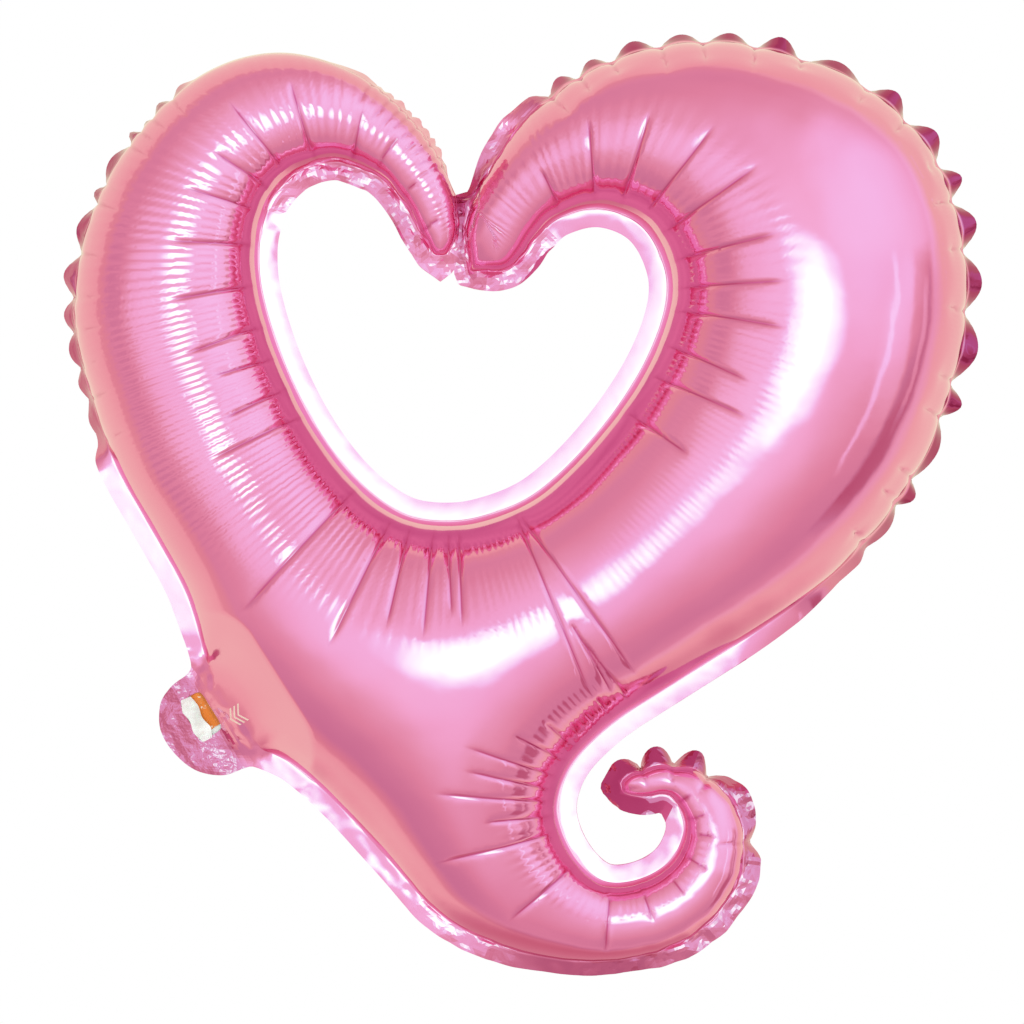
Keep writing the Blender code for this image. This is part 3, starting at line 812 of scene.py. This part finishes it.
class Film:
    """One film laid in the seam plane, with what its shape depends on."""

    def __init__(self, points, triangles):
        self.points, self.triangles = points, triangles
        index, distance = seam.nearest(points)
        offset = points - seam.fine[index]
        tangent = np.column_stack([-seam.normal[index, 1], seam.normal[index, 0]])
        along = np.sum(offset * tangent, axis=1)
        beside = np.abs(along) < 0.3
        self.depth = np.where(beside, np.sqrt(np.maximum(distance ** 2 - along ** 2, 0.0)), distance)
        self.station = seam.station[index] + np.where(beside, along, 0.0)
        self.swelling = is_inside(points, seam.loop) & (self.depth > 0.02)
        self.outward = seam.normal[index].copy()
        far = (self.depth > 0.3) & ~self.swelling
        self.outward[far] = offset[far] / distance[far][:, None]
        self.u, self.v = neck_coordinates(points)
        self.height = inflate(points, triangles, self.swelling)
        ends = seam.fine[seam.mouth_from - 1], seam.fine[0]
        along_mouth = (ends[1] - ends[0]) / np.linalg.norm(ends[1] - ends[0])
        reach = np.clip((points - ends[0]) @ along_mouth, 0.0, np.linalg.norm(ends[1] - ends[0]))
        from_mouth = np.linalg.norm(points - ends[0] - reach[:, None] * along_mouth, axis=1)
        self.height *= np.sqrt(np.clip(from_mouth / MOUTH_TAPER, 0.0, 1.0))
        self.arc = np.sqrt(self.depth ** 2 + self.height ** 2)
        number = np.searchsorted(np.array(CUSPS), self.station)
        between = (number > 0) & (number < len(CUSPS))
        self.dome_lean = LOBE_LEAN * NOISE_TABLE[(number * 37) % NOISE_COUNT] * between
        self.dome_form = LOBE_FORM[0] + LOBE_FORM[1] * NOISE_TABLE[(number * 53) % NOISE_COUNT] * between

    def shape(self, side, creases):
        """Places of the film's points in 3-D: side is -1 for the front film and 1 for the rear one."""
        scallop, crush = (column(MARGIN, number, self.station) for number in (SCALLOP, CRUSH))
        at_neck = ease(self.u, *FLAT_NEAR_NECK) * (np.abs(self.v) < NECK_MARGIN_HALF)
        arch = dome(self.station)
        pull = CUSP_PULL * scallop * (1.0 - arch)
        pull += crush * (1.0 - at_neck) * crumple(seam.fine[self.seam_index()], EDGE_FACETS)
        folds = sum(fold.valley(self.points)[0] for fold in SLACK_FOLDS)
        lift = channel_lift(self.u, self.v) + np.maximum(neck_bulge(self.u, self.v) - folds, 0.0)
        places = self.inflated(side, creases, lift, pull, crush)
        margin = ~self.swelling
        places[margin] = self.margin_places(arch, at_neck, pull, scallop, crush)[margin]
        places[margin, 1] += side * lift[margin]
        places[:, 1] += side * HALF_GAP + tab_wave(self.points)
        return places

    def margin_places(self, arch, at_neck, pull, scallop, crush):
        """The sealed margin: it leans back, stands in scallops and is crushed."""
        tilt = column(MARGIN, TILT, self.station) * (1.0 - at_neck)
        tilt = tilt * (1.0 + self.dome_lean * scallop)
        curl = np.clip(self.depth / MARGIN_WIDTH, 0.0, 1.0) ** 0.8
        hinge = 1.0 - np.exp(-self.depth / HINGE_WIDTH)
        share = np.clip(tilt / HINGED_FROM + scallop, 0.0, 1.0)
        reach = np.cos(np.radians(tilt)) * (1.0 - scallop * (1.0 - arch ** self.dome_form))
        lean = np.arccos(np.clip(reach, math.cos(math.radians(STEEPEST)), 1.0))
        lean *= share * hinge + (1.0 - share) * curl
        shift = self.outward * (self.depth * (np.cos(lean) - 1.0) - pull)[:, None]
        y = self.depth * np.sin(lean)
        stand = np.clip(self.depth / 2.0, 0.0, 1.0)
        y += (1.0 - at_neck) * crush * stand * crumple(self.points, MARGIN_FACETS)
        near_notch = np.exp(-np.sum((self.points - NOTCH) ** 2, axis=1) / (2.0 * WEB_SPREAD ** 2))
        shift[:, 1] -= WEB_SAG * near_notch * ease(self.depth, 0.0, 5.0)
        return np.column_stack([self.points[:, 0] + shift[:, 0], y, self.points[:, 1] + shift[:, 1]])

    def inflated(self, side, creases, lift, pull, crush):
        """The swollen part, pulled in along the creases, uneven, and crushed beside crushed margin."""
        swollen = np.sqrt(self.height ** 2 + lift ** 2)
        base = np.column_stack([self.points[:, 0], side * swollen, self.points[:, 1]])
        inside = is_inside(self.points[self.triangles].mean(axis=1), seam.loop)
        faces = self.triangles[inside] if side < 0 else self.triangles[inside][:, ::-1]
        normals = vertex_normals(base, faces)
        level = np.zeros(len(base))
        margin = ~self.swelling
        normals[margin] = np.column_stack([self.outward[:, 0], level, self.outward[:, 1]])[margin]
        # self.fold gathers painted shade along the crease bottoms, where the foil would reflect itself
        self.fold = np.zeros(len(base))
        push = -pull * np.exp(-self.arc / PULL_REACH)
        facing = ease(np.abs(normals[:, 1]), *CREASED_FACING)
        for crease in creases:
            valley, bottom = crease.valley(self.points)
            push -= valley * (1.0 if crease.at_edge else facing)
            self.fold = np.maximum(self.fold, bottom * (0.35 if crease.at_edge else facing))
        uneven = sum(height * swell(self.points, size, seed + side) for size, height, seed in TUBE_SWELL)
        push += ease(self.arc, 0.0, SWELL_FROM) * uneven
        beside = np.exp(-self.arc / CRUSH_REACH) * ease(self.arc, 0.0, CRUSH_FROM)
        push += crush * beside * crumple(self.points, TUBE_FACETS, side)
        return base + normals * push[:, None]

    def painted_margin_shade(self):
        """How much painted shade darkens the sealed margin's colour, read from the table along the seam and
        laid over the neck's tab.
        """
        seam_shade = column(MARGIN, SHADE, self.station)
        tab = TAB_SHADE * ease(self.u, *TAB_SHADE_RISE) * (np.abs(self.v) < NECK_SIDE)
        return ~self.swelling * np.maximum(seam_shade * ease(self.depth, 0.0, 1.0), tab)

    def is_crumpled(self):
        """True for each triangle that lies in crushed margin or in the outer part of the neck."""
        crush = column(MARGIN, CRUSH, self.station)
        outer_neck = (self.u > FACETED_NECK[0]) & (np.abs(self.v) < FACETED_NECK[1])
        crumpled = ~self.swelling & ((crush > FACETED_CRUSH) | outer_neck)
        return crumpled[self.triangles].all(axis=1)

    def seam_index(self):
        return np.clip(np.searchsorted(seam.station, self.station), 0, len(seam.fine) - 1)


def cut_border(mesh, triangles):
    """True for each edge of the mesh that only one triangle uses."""
    weights = (len(mesh.vertices), 1)
    sides = np.sort(np.vstack([triangles[:, [0, 1]], triangles[:, [1, 2]], triangles[:, [2, 0]]]), axis=1)
    keys, uses = np.unique(sides @ weights, return_counts=True)
    ends = np.zeros(2 * len(mesh.edges), np.int32)
    mesh.edges.foreach_get("vertices", ends)
    return np.isin(np.sort(ends.reshape(-1, 2).astype(int), axis=1) @ weights, keys[uses == 1])


def add_object(name, data):
    thing = bpy.data.objects.new(name, data)
    bpy.context.scene.collection.objects.link(thing)
    return thing


def add_mesh(name, places, triangles, attributes=None, thickness=FILM, offset=1.0, crumpled=None):
    """A named sheet with a thickness: smooth, with sharp cut edges and, where it is crumpled, flat facets."""
    mesh = bpy.data.meshes.new(name)
    mesh.from_pydata([tuple(p) for p in places * MM], [], [tuple(t) for t in triangles])
    smooth = np.ones(len(triangles), bool) if crumpled is None else ~crumpled
    mesh.polygons.foreach_set("use_smooth", smooth)
    sharp = mesh.attributes.new("sharp_edge", "BOOLEAN", "EDGE")
    sharp.data.foreach_set("value", cut_border(mesh, triangles))
    for key, values in (attributes or {}).items():
        layer = mesh.attributes.new(key, "FLOAT", "POINT")
        layer.data.foreach_set("value", np.asarray(values, np.float32))
    piece = add_object(name, mesh)
    solid = piece.modifiers.new("thickness", "SOLIDIFY")
    solid.thickness = thickness * MM
    solid.offset = offset
    return piece


def ripple_attributes(film):
    """Where the film is finely rippled, and the distance along the opening's seam that the ripples follow."""
    opening_part = (seam.station > RIGHT_TIP + 10.0) & (seam.station < LEFT_TIP - 10.0)
    index, across = nearest_in(tree_of(seam.fine[opening_part]), film.points)
    phase = seam.station[opening_part][index]
    reach = column(RIPPLES, 1, phase)
    mask = (1.0 - ease(across, 0.7 * reach, reach)) * ease(across, 7.0, 13.0) * film.swelling
    mask = mask * column(RIPPLES, 2, phase)
    off_ridge = 1.0 - ease(film.depth / np.maximum(film.height, 1.0), 0.62, 0.85)
    tail = band(film.station, *TAIL_RIPPLES) * band(film.depth, (5.0, 9.0), (18.0, 34.0)) * off_ridge
    rim = band(film.station, *RIM_RIPPLES) * band(film.depth, (4.0, 7.0), (9.0, 14.0))
    beside_seam = np.maximum(0.7 * tail * film.swelling, 0.4 * rim)
    from_seam = beside_seam > mask
    return {"ripple_phase": np.where(from_seam, film.station, phase),
            "ripple_mask": np.where(from_seam, beside_seam, mask),
            "neck_u": film.u, "neck_v": film.v}


# ---------------------------------------------------------------- materials

def new_material(name):
    material = bpy.data.materials.new(name)
    material.use_nodes = True
    tree = material.node_tree
    return material, tree, tree.nodes["Principled BSDF"]


def feed(tree, node, inputs):
    """Links outputs to a node's inputs, or sets the inputs' own values, by name or number."""
    for key, value in inputs.items():
        if isinstance(value, bpy.types.NodeSocket):
            tree.links.new(value, node.inputs[key])
        else:
            is_colour = node.inputs[key].type == "RGBA"
            node.inputs[key].default_value = value + (1.0,) if is_colour else value


def add_node(tree, kind, inputs, output=0, **settings):
    """One output of a new shader node, by name or number."""
    node = tree.nodes.new("ShaderNode" + kind)
    for key, value in settings.items():
        setattr(node, key, value)
    feed(tree, node, inputs)
    return node.outputs[output]


def add_noise(tree, vector, scale, detail=2.0):
    return add_node(tree, "TexNoise", {"Vector": vector, "Scale": scale, "Detail": detail}, "Fac")


def add_math(tree, operation, first, second=0.0):
    return add_node(tree, "Math", {0: first, 1: second}, operation=operation)


def add_range(tree, value, low, high, start=0.3, end=0.7, form="LINEAR"):
    inputs = {"Value": value, "From Min": start, "From Max": end, "To Min": low, "To Max": high}
    return add_node(tree, "MapRange", inputs, "Result", interpolation_type=form)


def add_mix(tree, factor, first, second):
    """Colour between the first and the second: the mix node's own colour inputs are numbers 6 and 7."""
    return add_node(tree, "Mix", {"Factor": factor, 6: first, 7: second}, 2, data_type="RGBA")


def add_ramp(tree, factor, rows, scale):
    """Colour ramp whose colours may pass 1: they are stored divided by the scale."""
    colour = add_node(tree, "ValToRGB", {"Fac": factor}, "Color")
    stops = colour.node.color_ramp.elements
    while len(stops) < len(rows):
        stops.new(0.5)
    for stop, (place, levels) in zip(stops, rows):
        stop.position = place
        stop.color = tuple(level / scale for level in levels) + (1.0,)
    return add_node(tree, "VectorMath", {0: colour, "Scale": scale}, operation="SCALE")


def add_bump(tree, height, distance, onto=None):
    normal = {} if onto is None else {"Normal": onto}
    return add_node(tree, "Bump", {"Height": height, "Distance": distance * MM, **normal})


def attribute(tree, name):
    return add_node(tree, "Attribute", {}, "Fac", attribute_name=name)


def object_place(tree):
    return add_node(tree, "TexCoord", {}, "Object")


def chevron_mask(tree):
    """1 on the chevrons printed over the neck's crease, which point to the slot."""
    off_middle = add_math(tree, "SUBTRACT", attribute(tree, "neck_v"), PRINT_MIDDLE[1])
    beside = add_math(tree, "ABSOLUTE", off_middle)
    back = add_math(tree, "ADD", attribute(tree, "neck_u"), add_math(tree, "MULTIPLY", beside, PRINT_SLOPE))
    from_first = add_math(tree, "SUBTRACT", back, PRINT_MIDDLE[0] - PRINT_PITCH)
    count = add_math(tree, "DIVIDE", from_first, PRINT_PITCH)
    mask = add_math(tree, "LESS_THAN", add_math(tree, "FRACT", count), PRINT_SHARE)
    for limit, value, bound in (("LESS_THAN", beside, PRINT_HALF), ("GREATER_THAN", count, 0.0),
                                ("LESS_THAN", count, float(PRINT_COUNT))):
        mask = add_math(tree, "MULTIPLY", mask, add_math(tree, limit, value, bound))
    return mask


def foil_normal(tree, place):
    """Bumps of the foil: faint unevenness, the crushed tab of the neck and the combed ripples."""
    normal = add_bump(tree, add_noise(tree, place, 130.0, detail=1.0), 0.05)
    across = add_math(tree, "ABSOLUTE", attribute(tree, "neck_v"))
    tab = add_math(tree, "MULTIPLY", add_range(tree, attribute(tree, "neck_u"), 0.0, 1.0, 6.0, 12.0),
                   add_range(tree, across, 1.0, 0.0, 34.0, 38.0))
    crushed = add_math(tree, "MULTIPLY", add_noise(tree, place, 330.0), tab)
    normal = add_bump(tree, crushed, TAB_BUMP, normal)
    phase = attribute(tree, "ripple_phase")
    line = add_node(tree, "CombineXYZ", {"X": add_math(tree, "MULTIPLY", phase, RIPPLE_RATE)})
    loose = add_noise(tree, line, 1.0)
    drifted = add_math(tree, "ADD", add_math(tree, "MULTIPLY", phase, math.tau / RIPPLE_PITCH),
                       add_math(tree, "MULTIPLY", loose, RIPPLE_DRIFT))
    wave = add_math(tree, "MULTIPLY", add_math(tree, "SINE", drifted), RIPPLE_REGULAR)
    comb = add_math(tree, "ADD", wave, add_math(tree, "MULTIPLY", loose, RIPPLE_LOOSE))
    combed = add_math(tree, "MULTIPLY", comb, attribute(tree, "ripple_mask"))
    return add_bump(tree, combed, RIPPLE_HEIGHT, normal)


def foil_material(name, printed):
    """Mirror-bright tinted foil: faint colour drift, painted shade on the sealed margin and in the crease
    bottoms, fine grain, combed ripples and, where asked, a print.
    """
    material, tree, surface = new_material(name)
    place = object_place(tree)
    colour = add_mix(tree, add_range(tree, add_noise(tree, place, 14.0), 0.0, 1.0), DEEP_TINT, TINT)
    # Painted shade: the sealed margin and the tab take a deep colour
    colour = add_mix(tree, attribute(tree, "margin_shade"), colour, MARGIN_SHADE_TINT)
    # Painted shade along the crease bottoms
    colour = add_mix(tree, attribute(tree, "fold"), colour, FOLD_SHADE_TINT)
    grain = add_range(tree, add_noise(tree, place, 900.0, detail=3.0), *FOIL_ROUGHNESS)
    metal = 1.0
    if printed:
        mask = add_math(tree, "MULTIPLY", chevron_mask(tree), PRINT_COVER)
        colour = add_mix(tree, mask, colour, PRINT_COLOUR)
        metal = add_math(tree, "SUBTRACT", 1.0, mask)
        grain = add_math(tree, "ADD", grain, add_math(tree, "MULTIPLY", mask, PRINT_ROUGHNESS))
    feed(tree, surface, {"Base Color": colour, "Metallic": metal, "Roughness": grain,
                         "Normal": foil_normal(tree, place)})
    return material


def film_material(name, colour, milky_white):
    """Milky soft film with a crinkled sheen; its colour drifts by noise between a darker painted shade of
    crumples and its milky white.
    """
    material, tree, surface = new_material(name)
    place = object_place(tree)
    cloud = add_noise(tree, place, 160.0, detail=3.0)
    crinkle = add_noise(tree, place, 380.0, detail=3.0)
    # The colour drifts by noise from the darker painted shade to the milky white
    feed(tree, surface, {"Base Color": add_mix(tree, add_range(tree, cloud, 0.0, 1.0), colour, milky_white),
                         "Roughness": add_range(tree, cloud, 0.18, 0.34),
                         "Coat Weight": 0.4,
                         "Normal": add_bump(tree, crinkle, 0.2)})
    return material


def ink_material(name, colour, bare, coverage):
    """Printed ink with worn specks."""
    material, tree, surface = new_material(name)
    wear = add_noise(tree, object_place(tree), 520.0, detail=4.0)
    worn = add_range(tree, wear, 0.0, 1.0, coverage - 0.04, coverage + 0.04)
    feed(tree, surface, {"Base Color": add_mix(tree, worn, colour, bare), "Roughness": 0.38,
                         "Normal": add_bump(tree, wear, 0.03)})
    return material


# ---------------------------------------------------------------- neck parts

def neck_sheet(name, corners, level, bow, pitch, creasing, seed):
    """A thin crushed sheet between u, v corners, at a level of y, following the neck's own crush."""
    outline = np.array([neck_point(u, v) for u, v in corners])
    edge = smooth_line(outline, pitch, closed=True, corners=0.5)
    grid = lattice(outline.min(0), outline.max(0), pitch)
    grid = grid[is_inside(grid, edge)]
    _, apart = nearest_in(tree_of(edge), grid)
    everything = np.vstack([edge, grid[apart > 0.5 * pitch]])
    ring_edges = [(i, (i + 1) % len(edge)) for i in range(len(edge))]
    result = delaunay_2d_cdt([Vector(p) for p in everything], ring_edges, [], 1, 1e-5)
    flat = np.array([tuple(v) for v in result[0]])
    triangles = counter_clockwise_faces(flat, np.array(result[2]))
    creased = creasing * crumple(flat, [(bow, 0.7, seed), (0.45 * bow, 0.3, seed + 1)])
    places = np.column_stack([flat[:, 0], level + tab_wave(flat) + creased, flat[:, 1]])
    return add_mesh(name, places, triangles, thickness=SHEET_THICKNESS, offset=0.0)


# ---------------------------------------------------------------- the balloon

seam = Seam(seam_line())
OUTER, OPENING, SLOT = film_outline()
NOTCH = OUTER[np.argmin(np.linalg.norm(OUTER - seam.fine[seam.index_at(CLEFT)], axis=1))]
CREASES = crease_lines()
SLACK_FOLDS = [Crease([neck_point(u, v) for u, v in line], 0.9, width=0.9, pillow=2.5, start=0.15)
               for line in NECK_FOLDS]
film = Film(*film_mesh(OUTER, OPENING, SLOT, CREASES))

in_slot = is_inside(film.points[film.triangles].mean(axis=1), SLOT)
ripples = ripple_attributes(film)
crumpled = film.is_crumpled()
sides = []
for name, side, faces, flat in (("front_film", -1, film.triangles[~in_slot], crumpled[~in_slot]),
                                ("rear_film", 1, film.triangles[:, ::-1], crumpled)):
    places = film.shape(side, CREASES)
    # The fold attribute holds painted shade along the crease bottoms; the margin attribute holds painted
    # shade of the sealed margin and the tab
    looks = dict(ripples, fold=film.fold, margin_shade=film.painted_margin_shade())
    sides.append(add_mesh(name, places, faces, looks, crumpled=flat))
front, rear = sides
front.data.materials.append(foil_material("front_foil_look", printed=True))
rear.data.materials.append(foil_material("rear_foil_look", printed=False))
for piece, nodes, slot_name in ((front, ("front_panel", "neck_front_ply"), "front_foil"),
                                (rear, ("rear_panel", "neck_rear_ply"), "rear_foil")):
    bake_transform(piece)
    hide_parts(*nodes)

clear_film = film_material("clear_film_look", *CLEAR_FILM_SHADE_AND_WHITE)
ink = ink_material("orange_ink_look", *INK_COLOURS, INK_COVER)

TONGUE = [(-3, -17), (-3, 17), (-77, 14), (-77, -14)]
SHEETS = [
    # name, CAD node, body, corners, level of y, crease size, mesh pitch, creasing, slot, material
    ("throat_front", "valve_throat_front", "neck", [(1.6, -17), (7, -17), (7, 17), (1.6, 17)],
     -0.42, 6.0, 1.0, 0.04, "valve_throat_front_film", clear_film),
    ("throat_rear", "valve_throat_rear", "neck", [(1.6, -17), (26, -17), (26, 17), (1.6, 17)],
     0.28, 6.0, 1.0, 0.06, "valve_throat_rear_film", clear_film),
    ("ink_patch", "valve_ink_patch", "neck", [(6.8, -14.6), (12.9, -14.6), (12.9, 3.2), (6.8, 3.2)],
     -0.10, 3.0, 0.6, 0.05, "valve_ink", ink),
    ("mouth_lip", "valve_mouth_lip", "lip", LIP_CORNERS,
     -1.35, 4.2, 0.5, 1.0, "valve_lip_film", clear_film),
    ("tongue_front", "valve_front_ply", "valve_front", TONGUE,
     -0.30, 9.0, 2.0, 0.05, "valve_front_film", clear_film),
    ("tongue_rear", "valve_rear_ply", "valve_rear", TONGUE,
     0.30, 9.0, 2.0, 0.05, "valve_rear_film", clear_film),
]
for i, (name, node, body, corners, level, bow, pitch, creasing, slot_name, look) in enumerate(SHEETS):
    sheet = neck_sheet(name, corners, level, bow, pitch, creasing, 50 + 3 * i)
    sheet.data.materials.append(look)
    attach(sheet, body)
    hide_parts(node)


# ---------------------------------------------------------------- stage, light and camera

def soft_panel(tree, direction, across, up, inner, outer, amount):
    """A round panel of the studio: full within the inner angle of its middle, gone beyond the outer one."""
    x, y = math.radians(across), math.radians(up)
    middle = (math.sin(x) * math.cos(y), math.sin(y), -math.cos(x) * math.cos(y))
    near = add_node(tree, "VectorMath", {0: direction, 1: middle}, "Value", operation="DOT_PRODUCT")
    start, end = math.cos(math.radians(outer)), math.cos(math.radians(inner))
    return add_range(tree, near, 0.0, amount, start, end, "SMOOTHSTEP")


def upright_strip(tree, right, height, across, half, low_end, high_end, amount):
    """A strip of the studio that stands at one angle to the right, between two heights."""
    beside = add_math(tree, "ABSOLUTE", add_math(tree, "SUBTRACT", right, math.radians(across)))
    strip = add_range(tree, beside, amount, 0.0, 0.8 * math.radians(half), 1.3 * math.radians(half))
    for limit, low, high in ((low_end, 0.0, 1.0), (high_end, 1.0, 0.0)):
        edge = math.sin(math.radians(limit))
        within = add_range(tree, height, low, high, edge - 0.05, edge + 0.05)
        strip = add_math(tree, "MULTIPLY", strip, within)
    return strip


def world_light():
    """White backdrop for the camera. Reflections see a studio that turns with the camera: its brightness is a
    ramp from behind the balloon round to the camera, with soft panels added, and its colour follows."""
    world = bpy.data.worlds.new("studio")
    bpy.context.scene.world = world
    world.use_nodes = True
    tree = world.node_tree
    generated = add_node(tree, "TexCoord", {}, "Generated")
    direction = add_node(tree, "VectorTransform", {"Vector": generated},
                         vector_type="VECTOR", convert_from="WORLD", convert_to="CAMERA")
    x, y, z = add_node(tree, "SeparateXYZ", {"Vector": direction}).node.outputs
    facing = add_math(tree, "MULTIPLY", z, -1.0)
    angle = add_math(tree, "MULTIPLY", add_math(tree, "ARCCOSINE", facing), 1.0 / math.pi)
    level = add_ramp(tree, angle, [(degrees / 180.0, (bright,) * 3) for degrees, bright in ROUND_LEVEL], 2.0)
    for panel in PANELS:
        level = add_math(tree, "ADD", level, soft_panel(tree, direction, *panel))
    right = add_math(tree, "ARCTAN2", x, facing)
    for strip in STRIPS:
        level = add_math(tree, "ADD", level, upright_strip(tree, right, y, *strip))
    share = add_math(tree, "MULTIPLY", level, 1.0 / BRIGHTEST)
    ahead, behind = (add_ramp(tree, share, rows, BRIGHTEST) for rows in (FRONT_COLOURS, BEHIND_COLOURS))
    turned = add_math(tree, "SUBTRACT", angle, add_math(tree, "MULTIPLY", x, BEHIND_TURN / 180.0))
    behind_share = add_range(tree, turned, 0.0, 1.0, *(degrees / 180.0 for degrees in BEHIND_FROM))
    studio = add_node(tree, "Background", {"Color": add_mix(tree, behind_share, ahead, behind)})
    backdrop = add_node(tree, "Background", {"Color": (1.0, 1.0, 1.0)})
    seen_directly = add_node(tree, "LightPath", {}, "Is Camera Ray")
    picked = add_node(tree, "MixShader", {"Fac": seen_directly, 1: studio, 2: backdrop})
    tree.links.new(picked, tree.nodes["World Output"].inputs["Surface"])


def add_card(name, outline):
    """Rose card in the seam plane that only reflections see: the dim room as a rim reflects it."""
    mesh = bpy.data.meshes.new(name)
    mesh.from_pydata([(x * MM, 0.0, z * MM) for x, z in outline], [], [tuple(range(len(outline)))])
    card = add_object(name, mesh)
    look, tree, surface = new_material(name + "_look")
    cloud = add_noise(tree, object_place(tree), 25.0)
    glow = add_mix(tree, add_range(tree, cloud, 0.0, 1.0), *CARD_COLOURS)
    feed(tree, surface, {"Base Color": (0.0, 0.0, 0.0), "Specular IOR Level": 0.0,
                         "Emission Color": glow, "Emission Strength": 1.0})
    card.data.materials.append(look)
    card.visible_camera = card.visible_diffuse = card.visible_shadow = card.visible_transmission = False


world_light()

low, high = CAD_BOX
middle = (low + high) / 2.0
floor_mesh = bpy.data.meshes.new("floor")
floor_corners = [(FLOOR_HALF * x, FLOOR_HALF * y, 0.0) for x, y in ((-1, -1), (1, -1), (1, 1), (-1, 1))]
floor_mesh.from_pydata(floor_corners, [], [(0, 1, 2, 3)])
floor = add_object("floor", floor_mesh)
floor.location = (0.0, 0.0, low.z - FLOOR_DROP)
floor_look, floor_tree, floor_surface = new_material("floor_look")
floor_cloud = add_noise(floor_tree, object_place(floor_tree), 3.0)
floor_colour = add_mix(floor_tree, floor_cloud, *FLOOR_COLOURS)
feed(floor_tree, floor_surface, {"Base Color": floor_colour, "Roughness": 0.9})
floor.data.materials.append(floor_look)
floor.visible_glossy = False

opening_middle = OPENING.mean(axis=0)
add_card("opening_card", opening_middle + 0.88 * (OPENING - opening_middle))
bight = (seam.station[:seam.mouth_from] > TAIL_TIP + 34.0) & (seam.station[:seam.mouth_from] < 612.0)
add_card("bight_card", (seam.fine + seam.normal * MARGIN_WIDTH)[:seam.mouth_from][bight][::8])

camera_data = bpy.data.cameras.new("camera")
camera = add_object("camera", camera_data)
camera_data.sensor_width = SENSOR
camera_data.lens = SENSOR * CAMERA_DISTANCE / FRAME_WIDTH
camera.location = (middle.x + CAMERA_SHIFT[0], middle.y - CAMERA_DISTANCE, middle.z + CAMERA_SHIFT[1])
camera.rotation_euler = (math.radians(90.0), 0.0, 0.0)
bpy.context.scene.camera = camera

lamp_data = bpy.data.lights.new("key_light", "AREA")
lamp_data.shape = "RECTANGLE"
lamp_data.size = LAMP_SIZE
lamp_data.size_y = LAMP_SIZE
lamp_data.energy = LAMP_POWER
lamp = add_object("key_light", lamp_data)
lamp.visible_glossy = False
lamp.parent = camera
lamp.location = LAMP_PLACE
aim = Vector((0.0, 0.0, -CAMERA_DISTANCE)) - lamp.location
lamp.rotation_mode = "QUATERNION"
lamp.rotation_quaternion = aim.to_track_quat("-Z", "Y")

bpy.context.scene.view_settings.view_transform = "Standard"
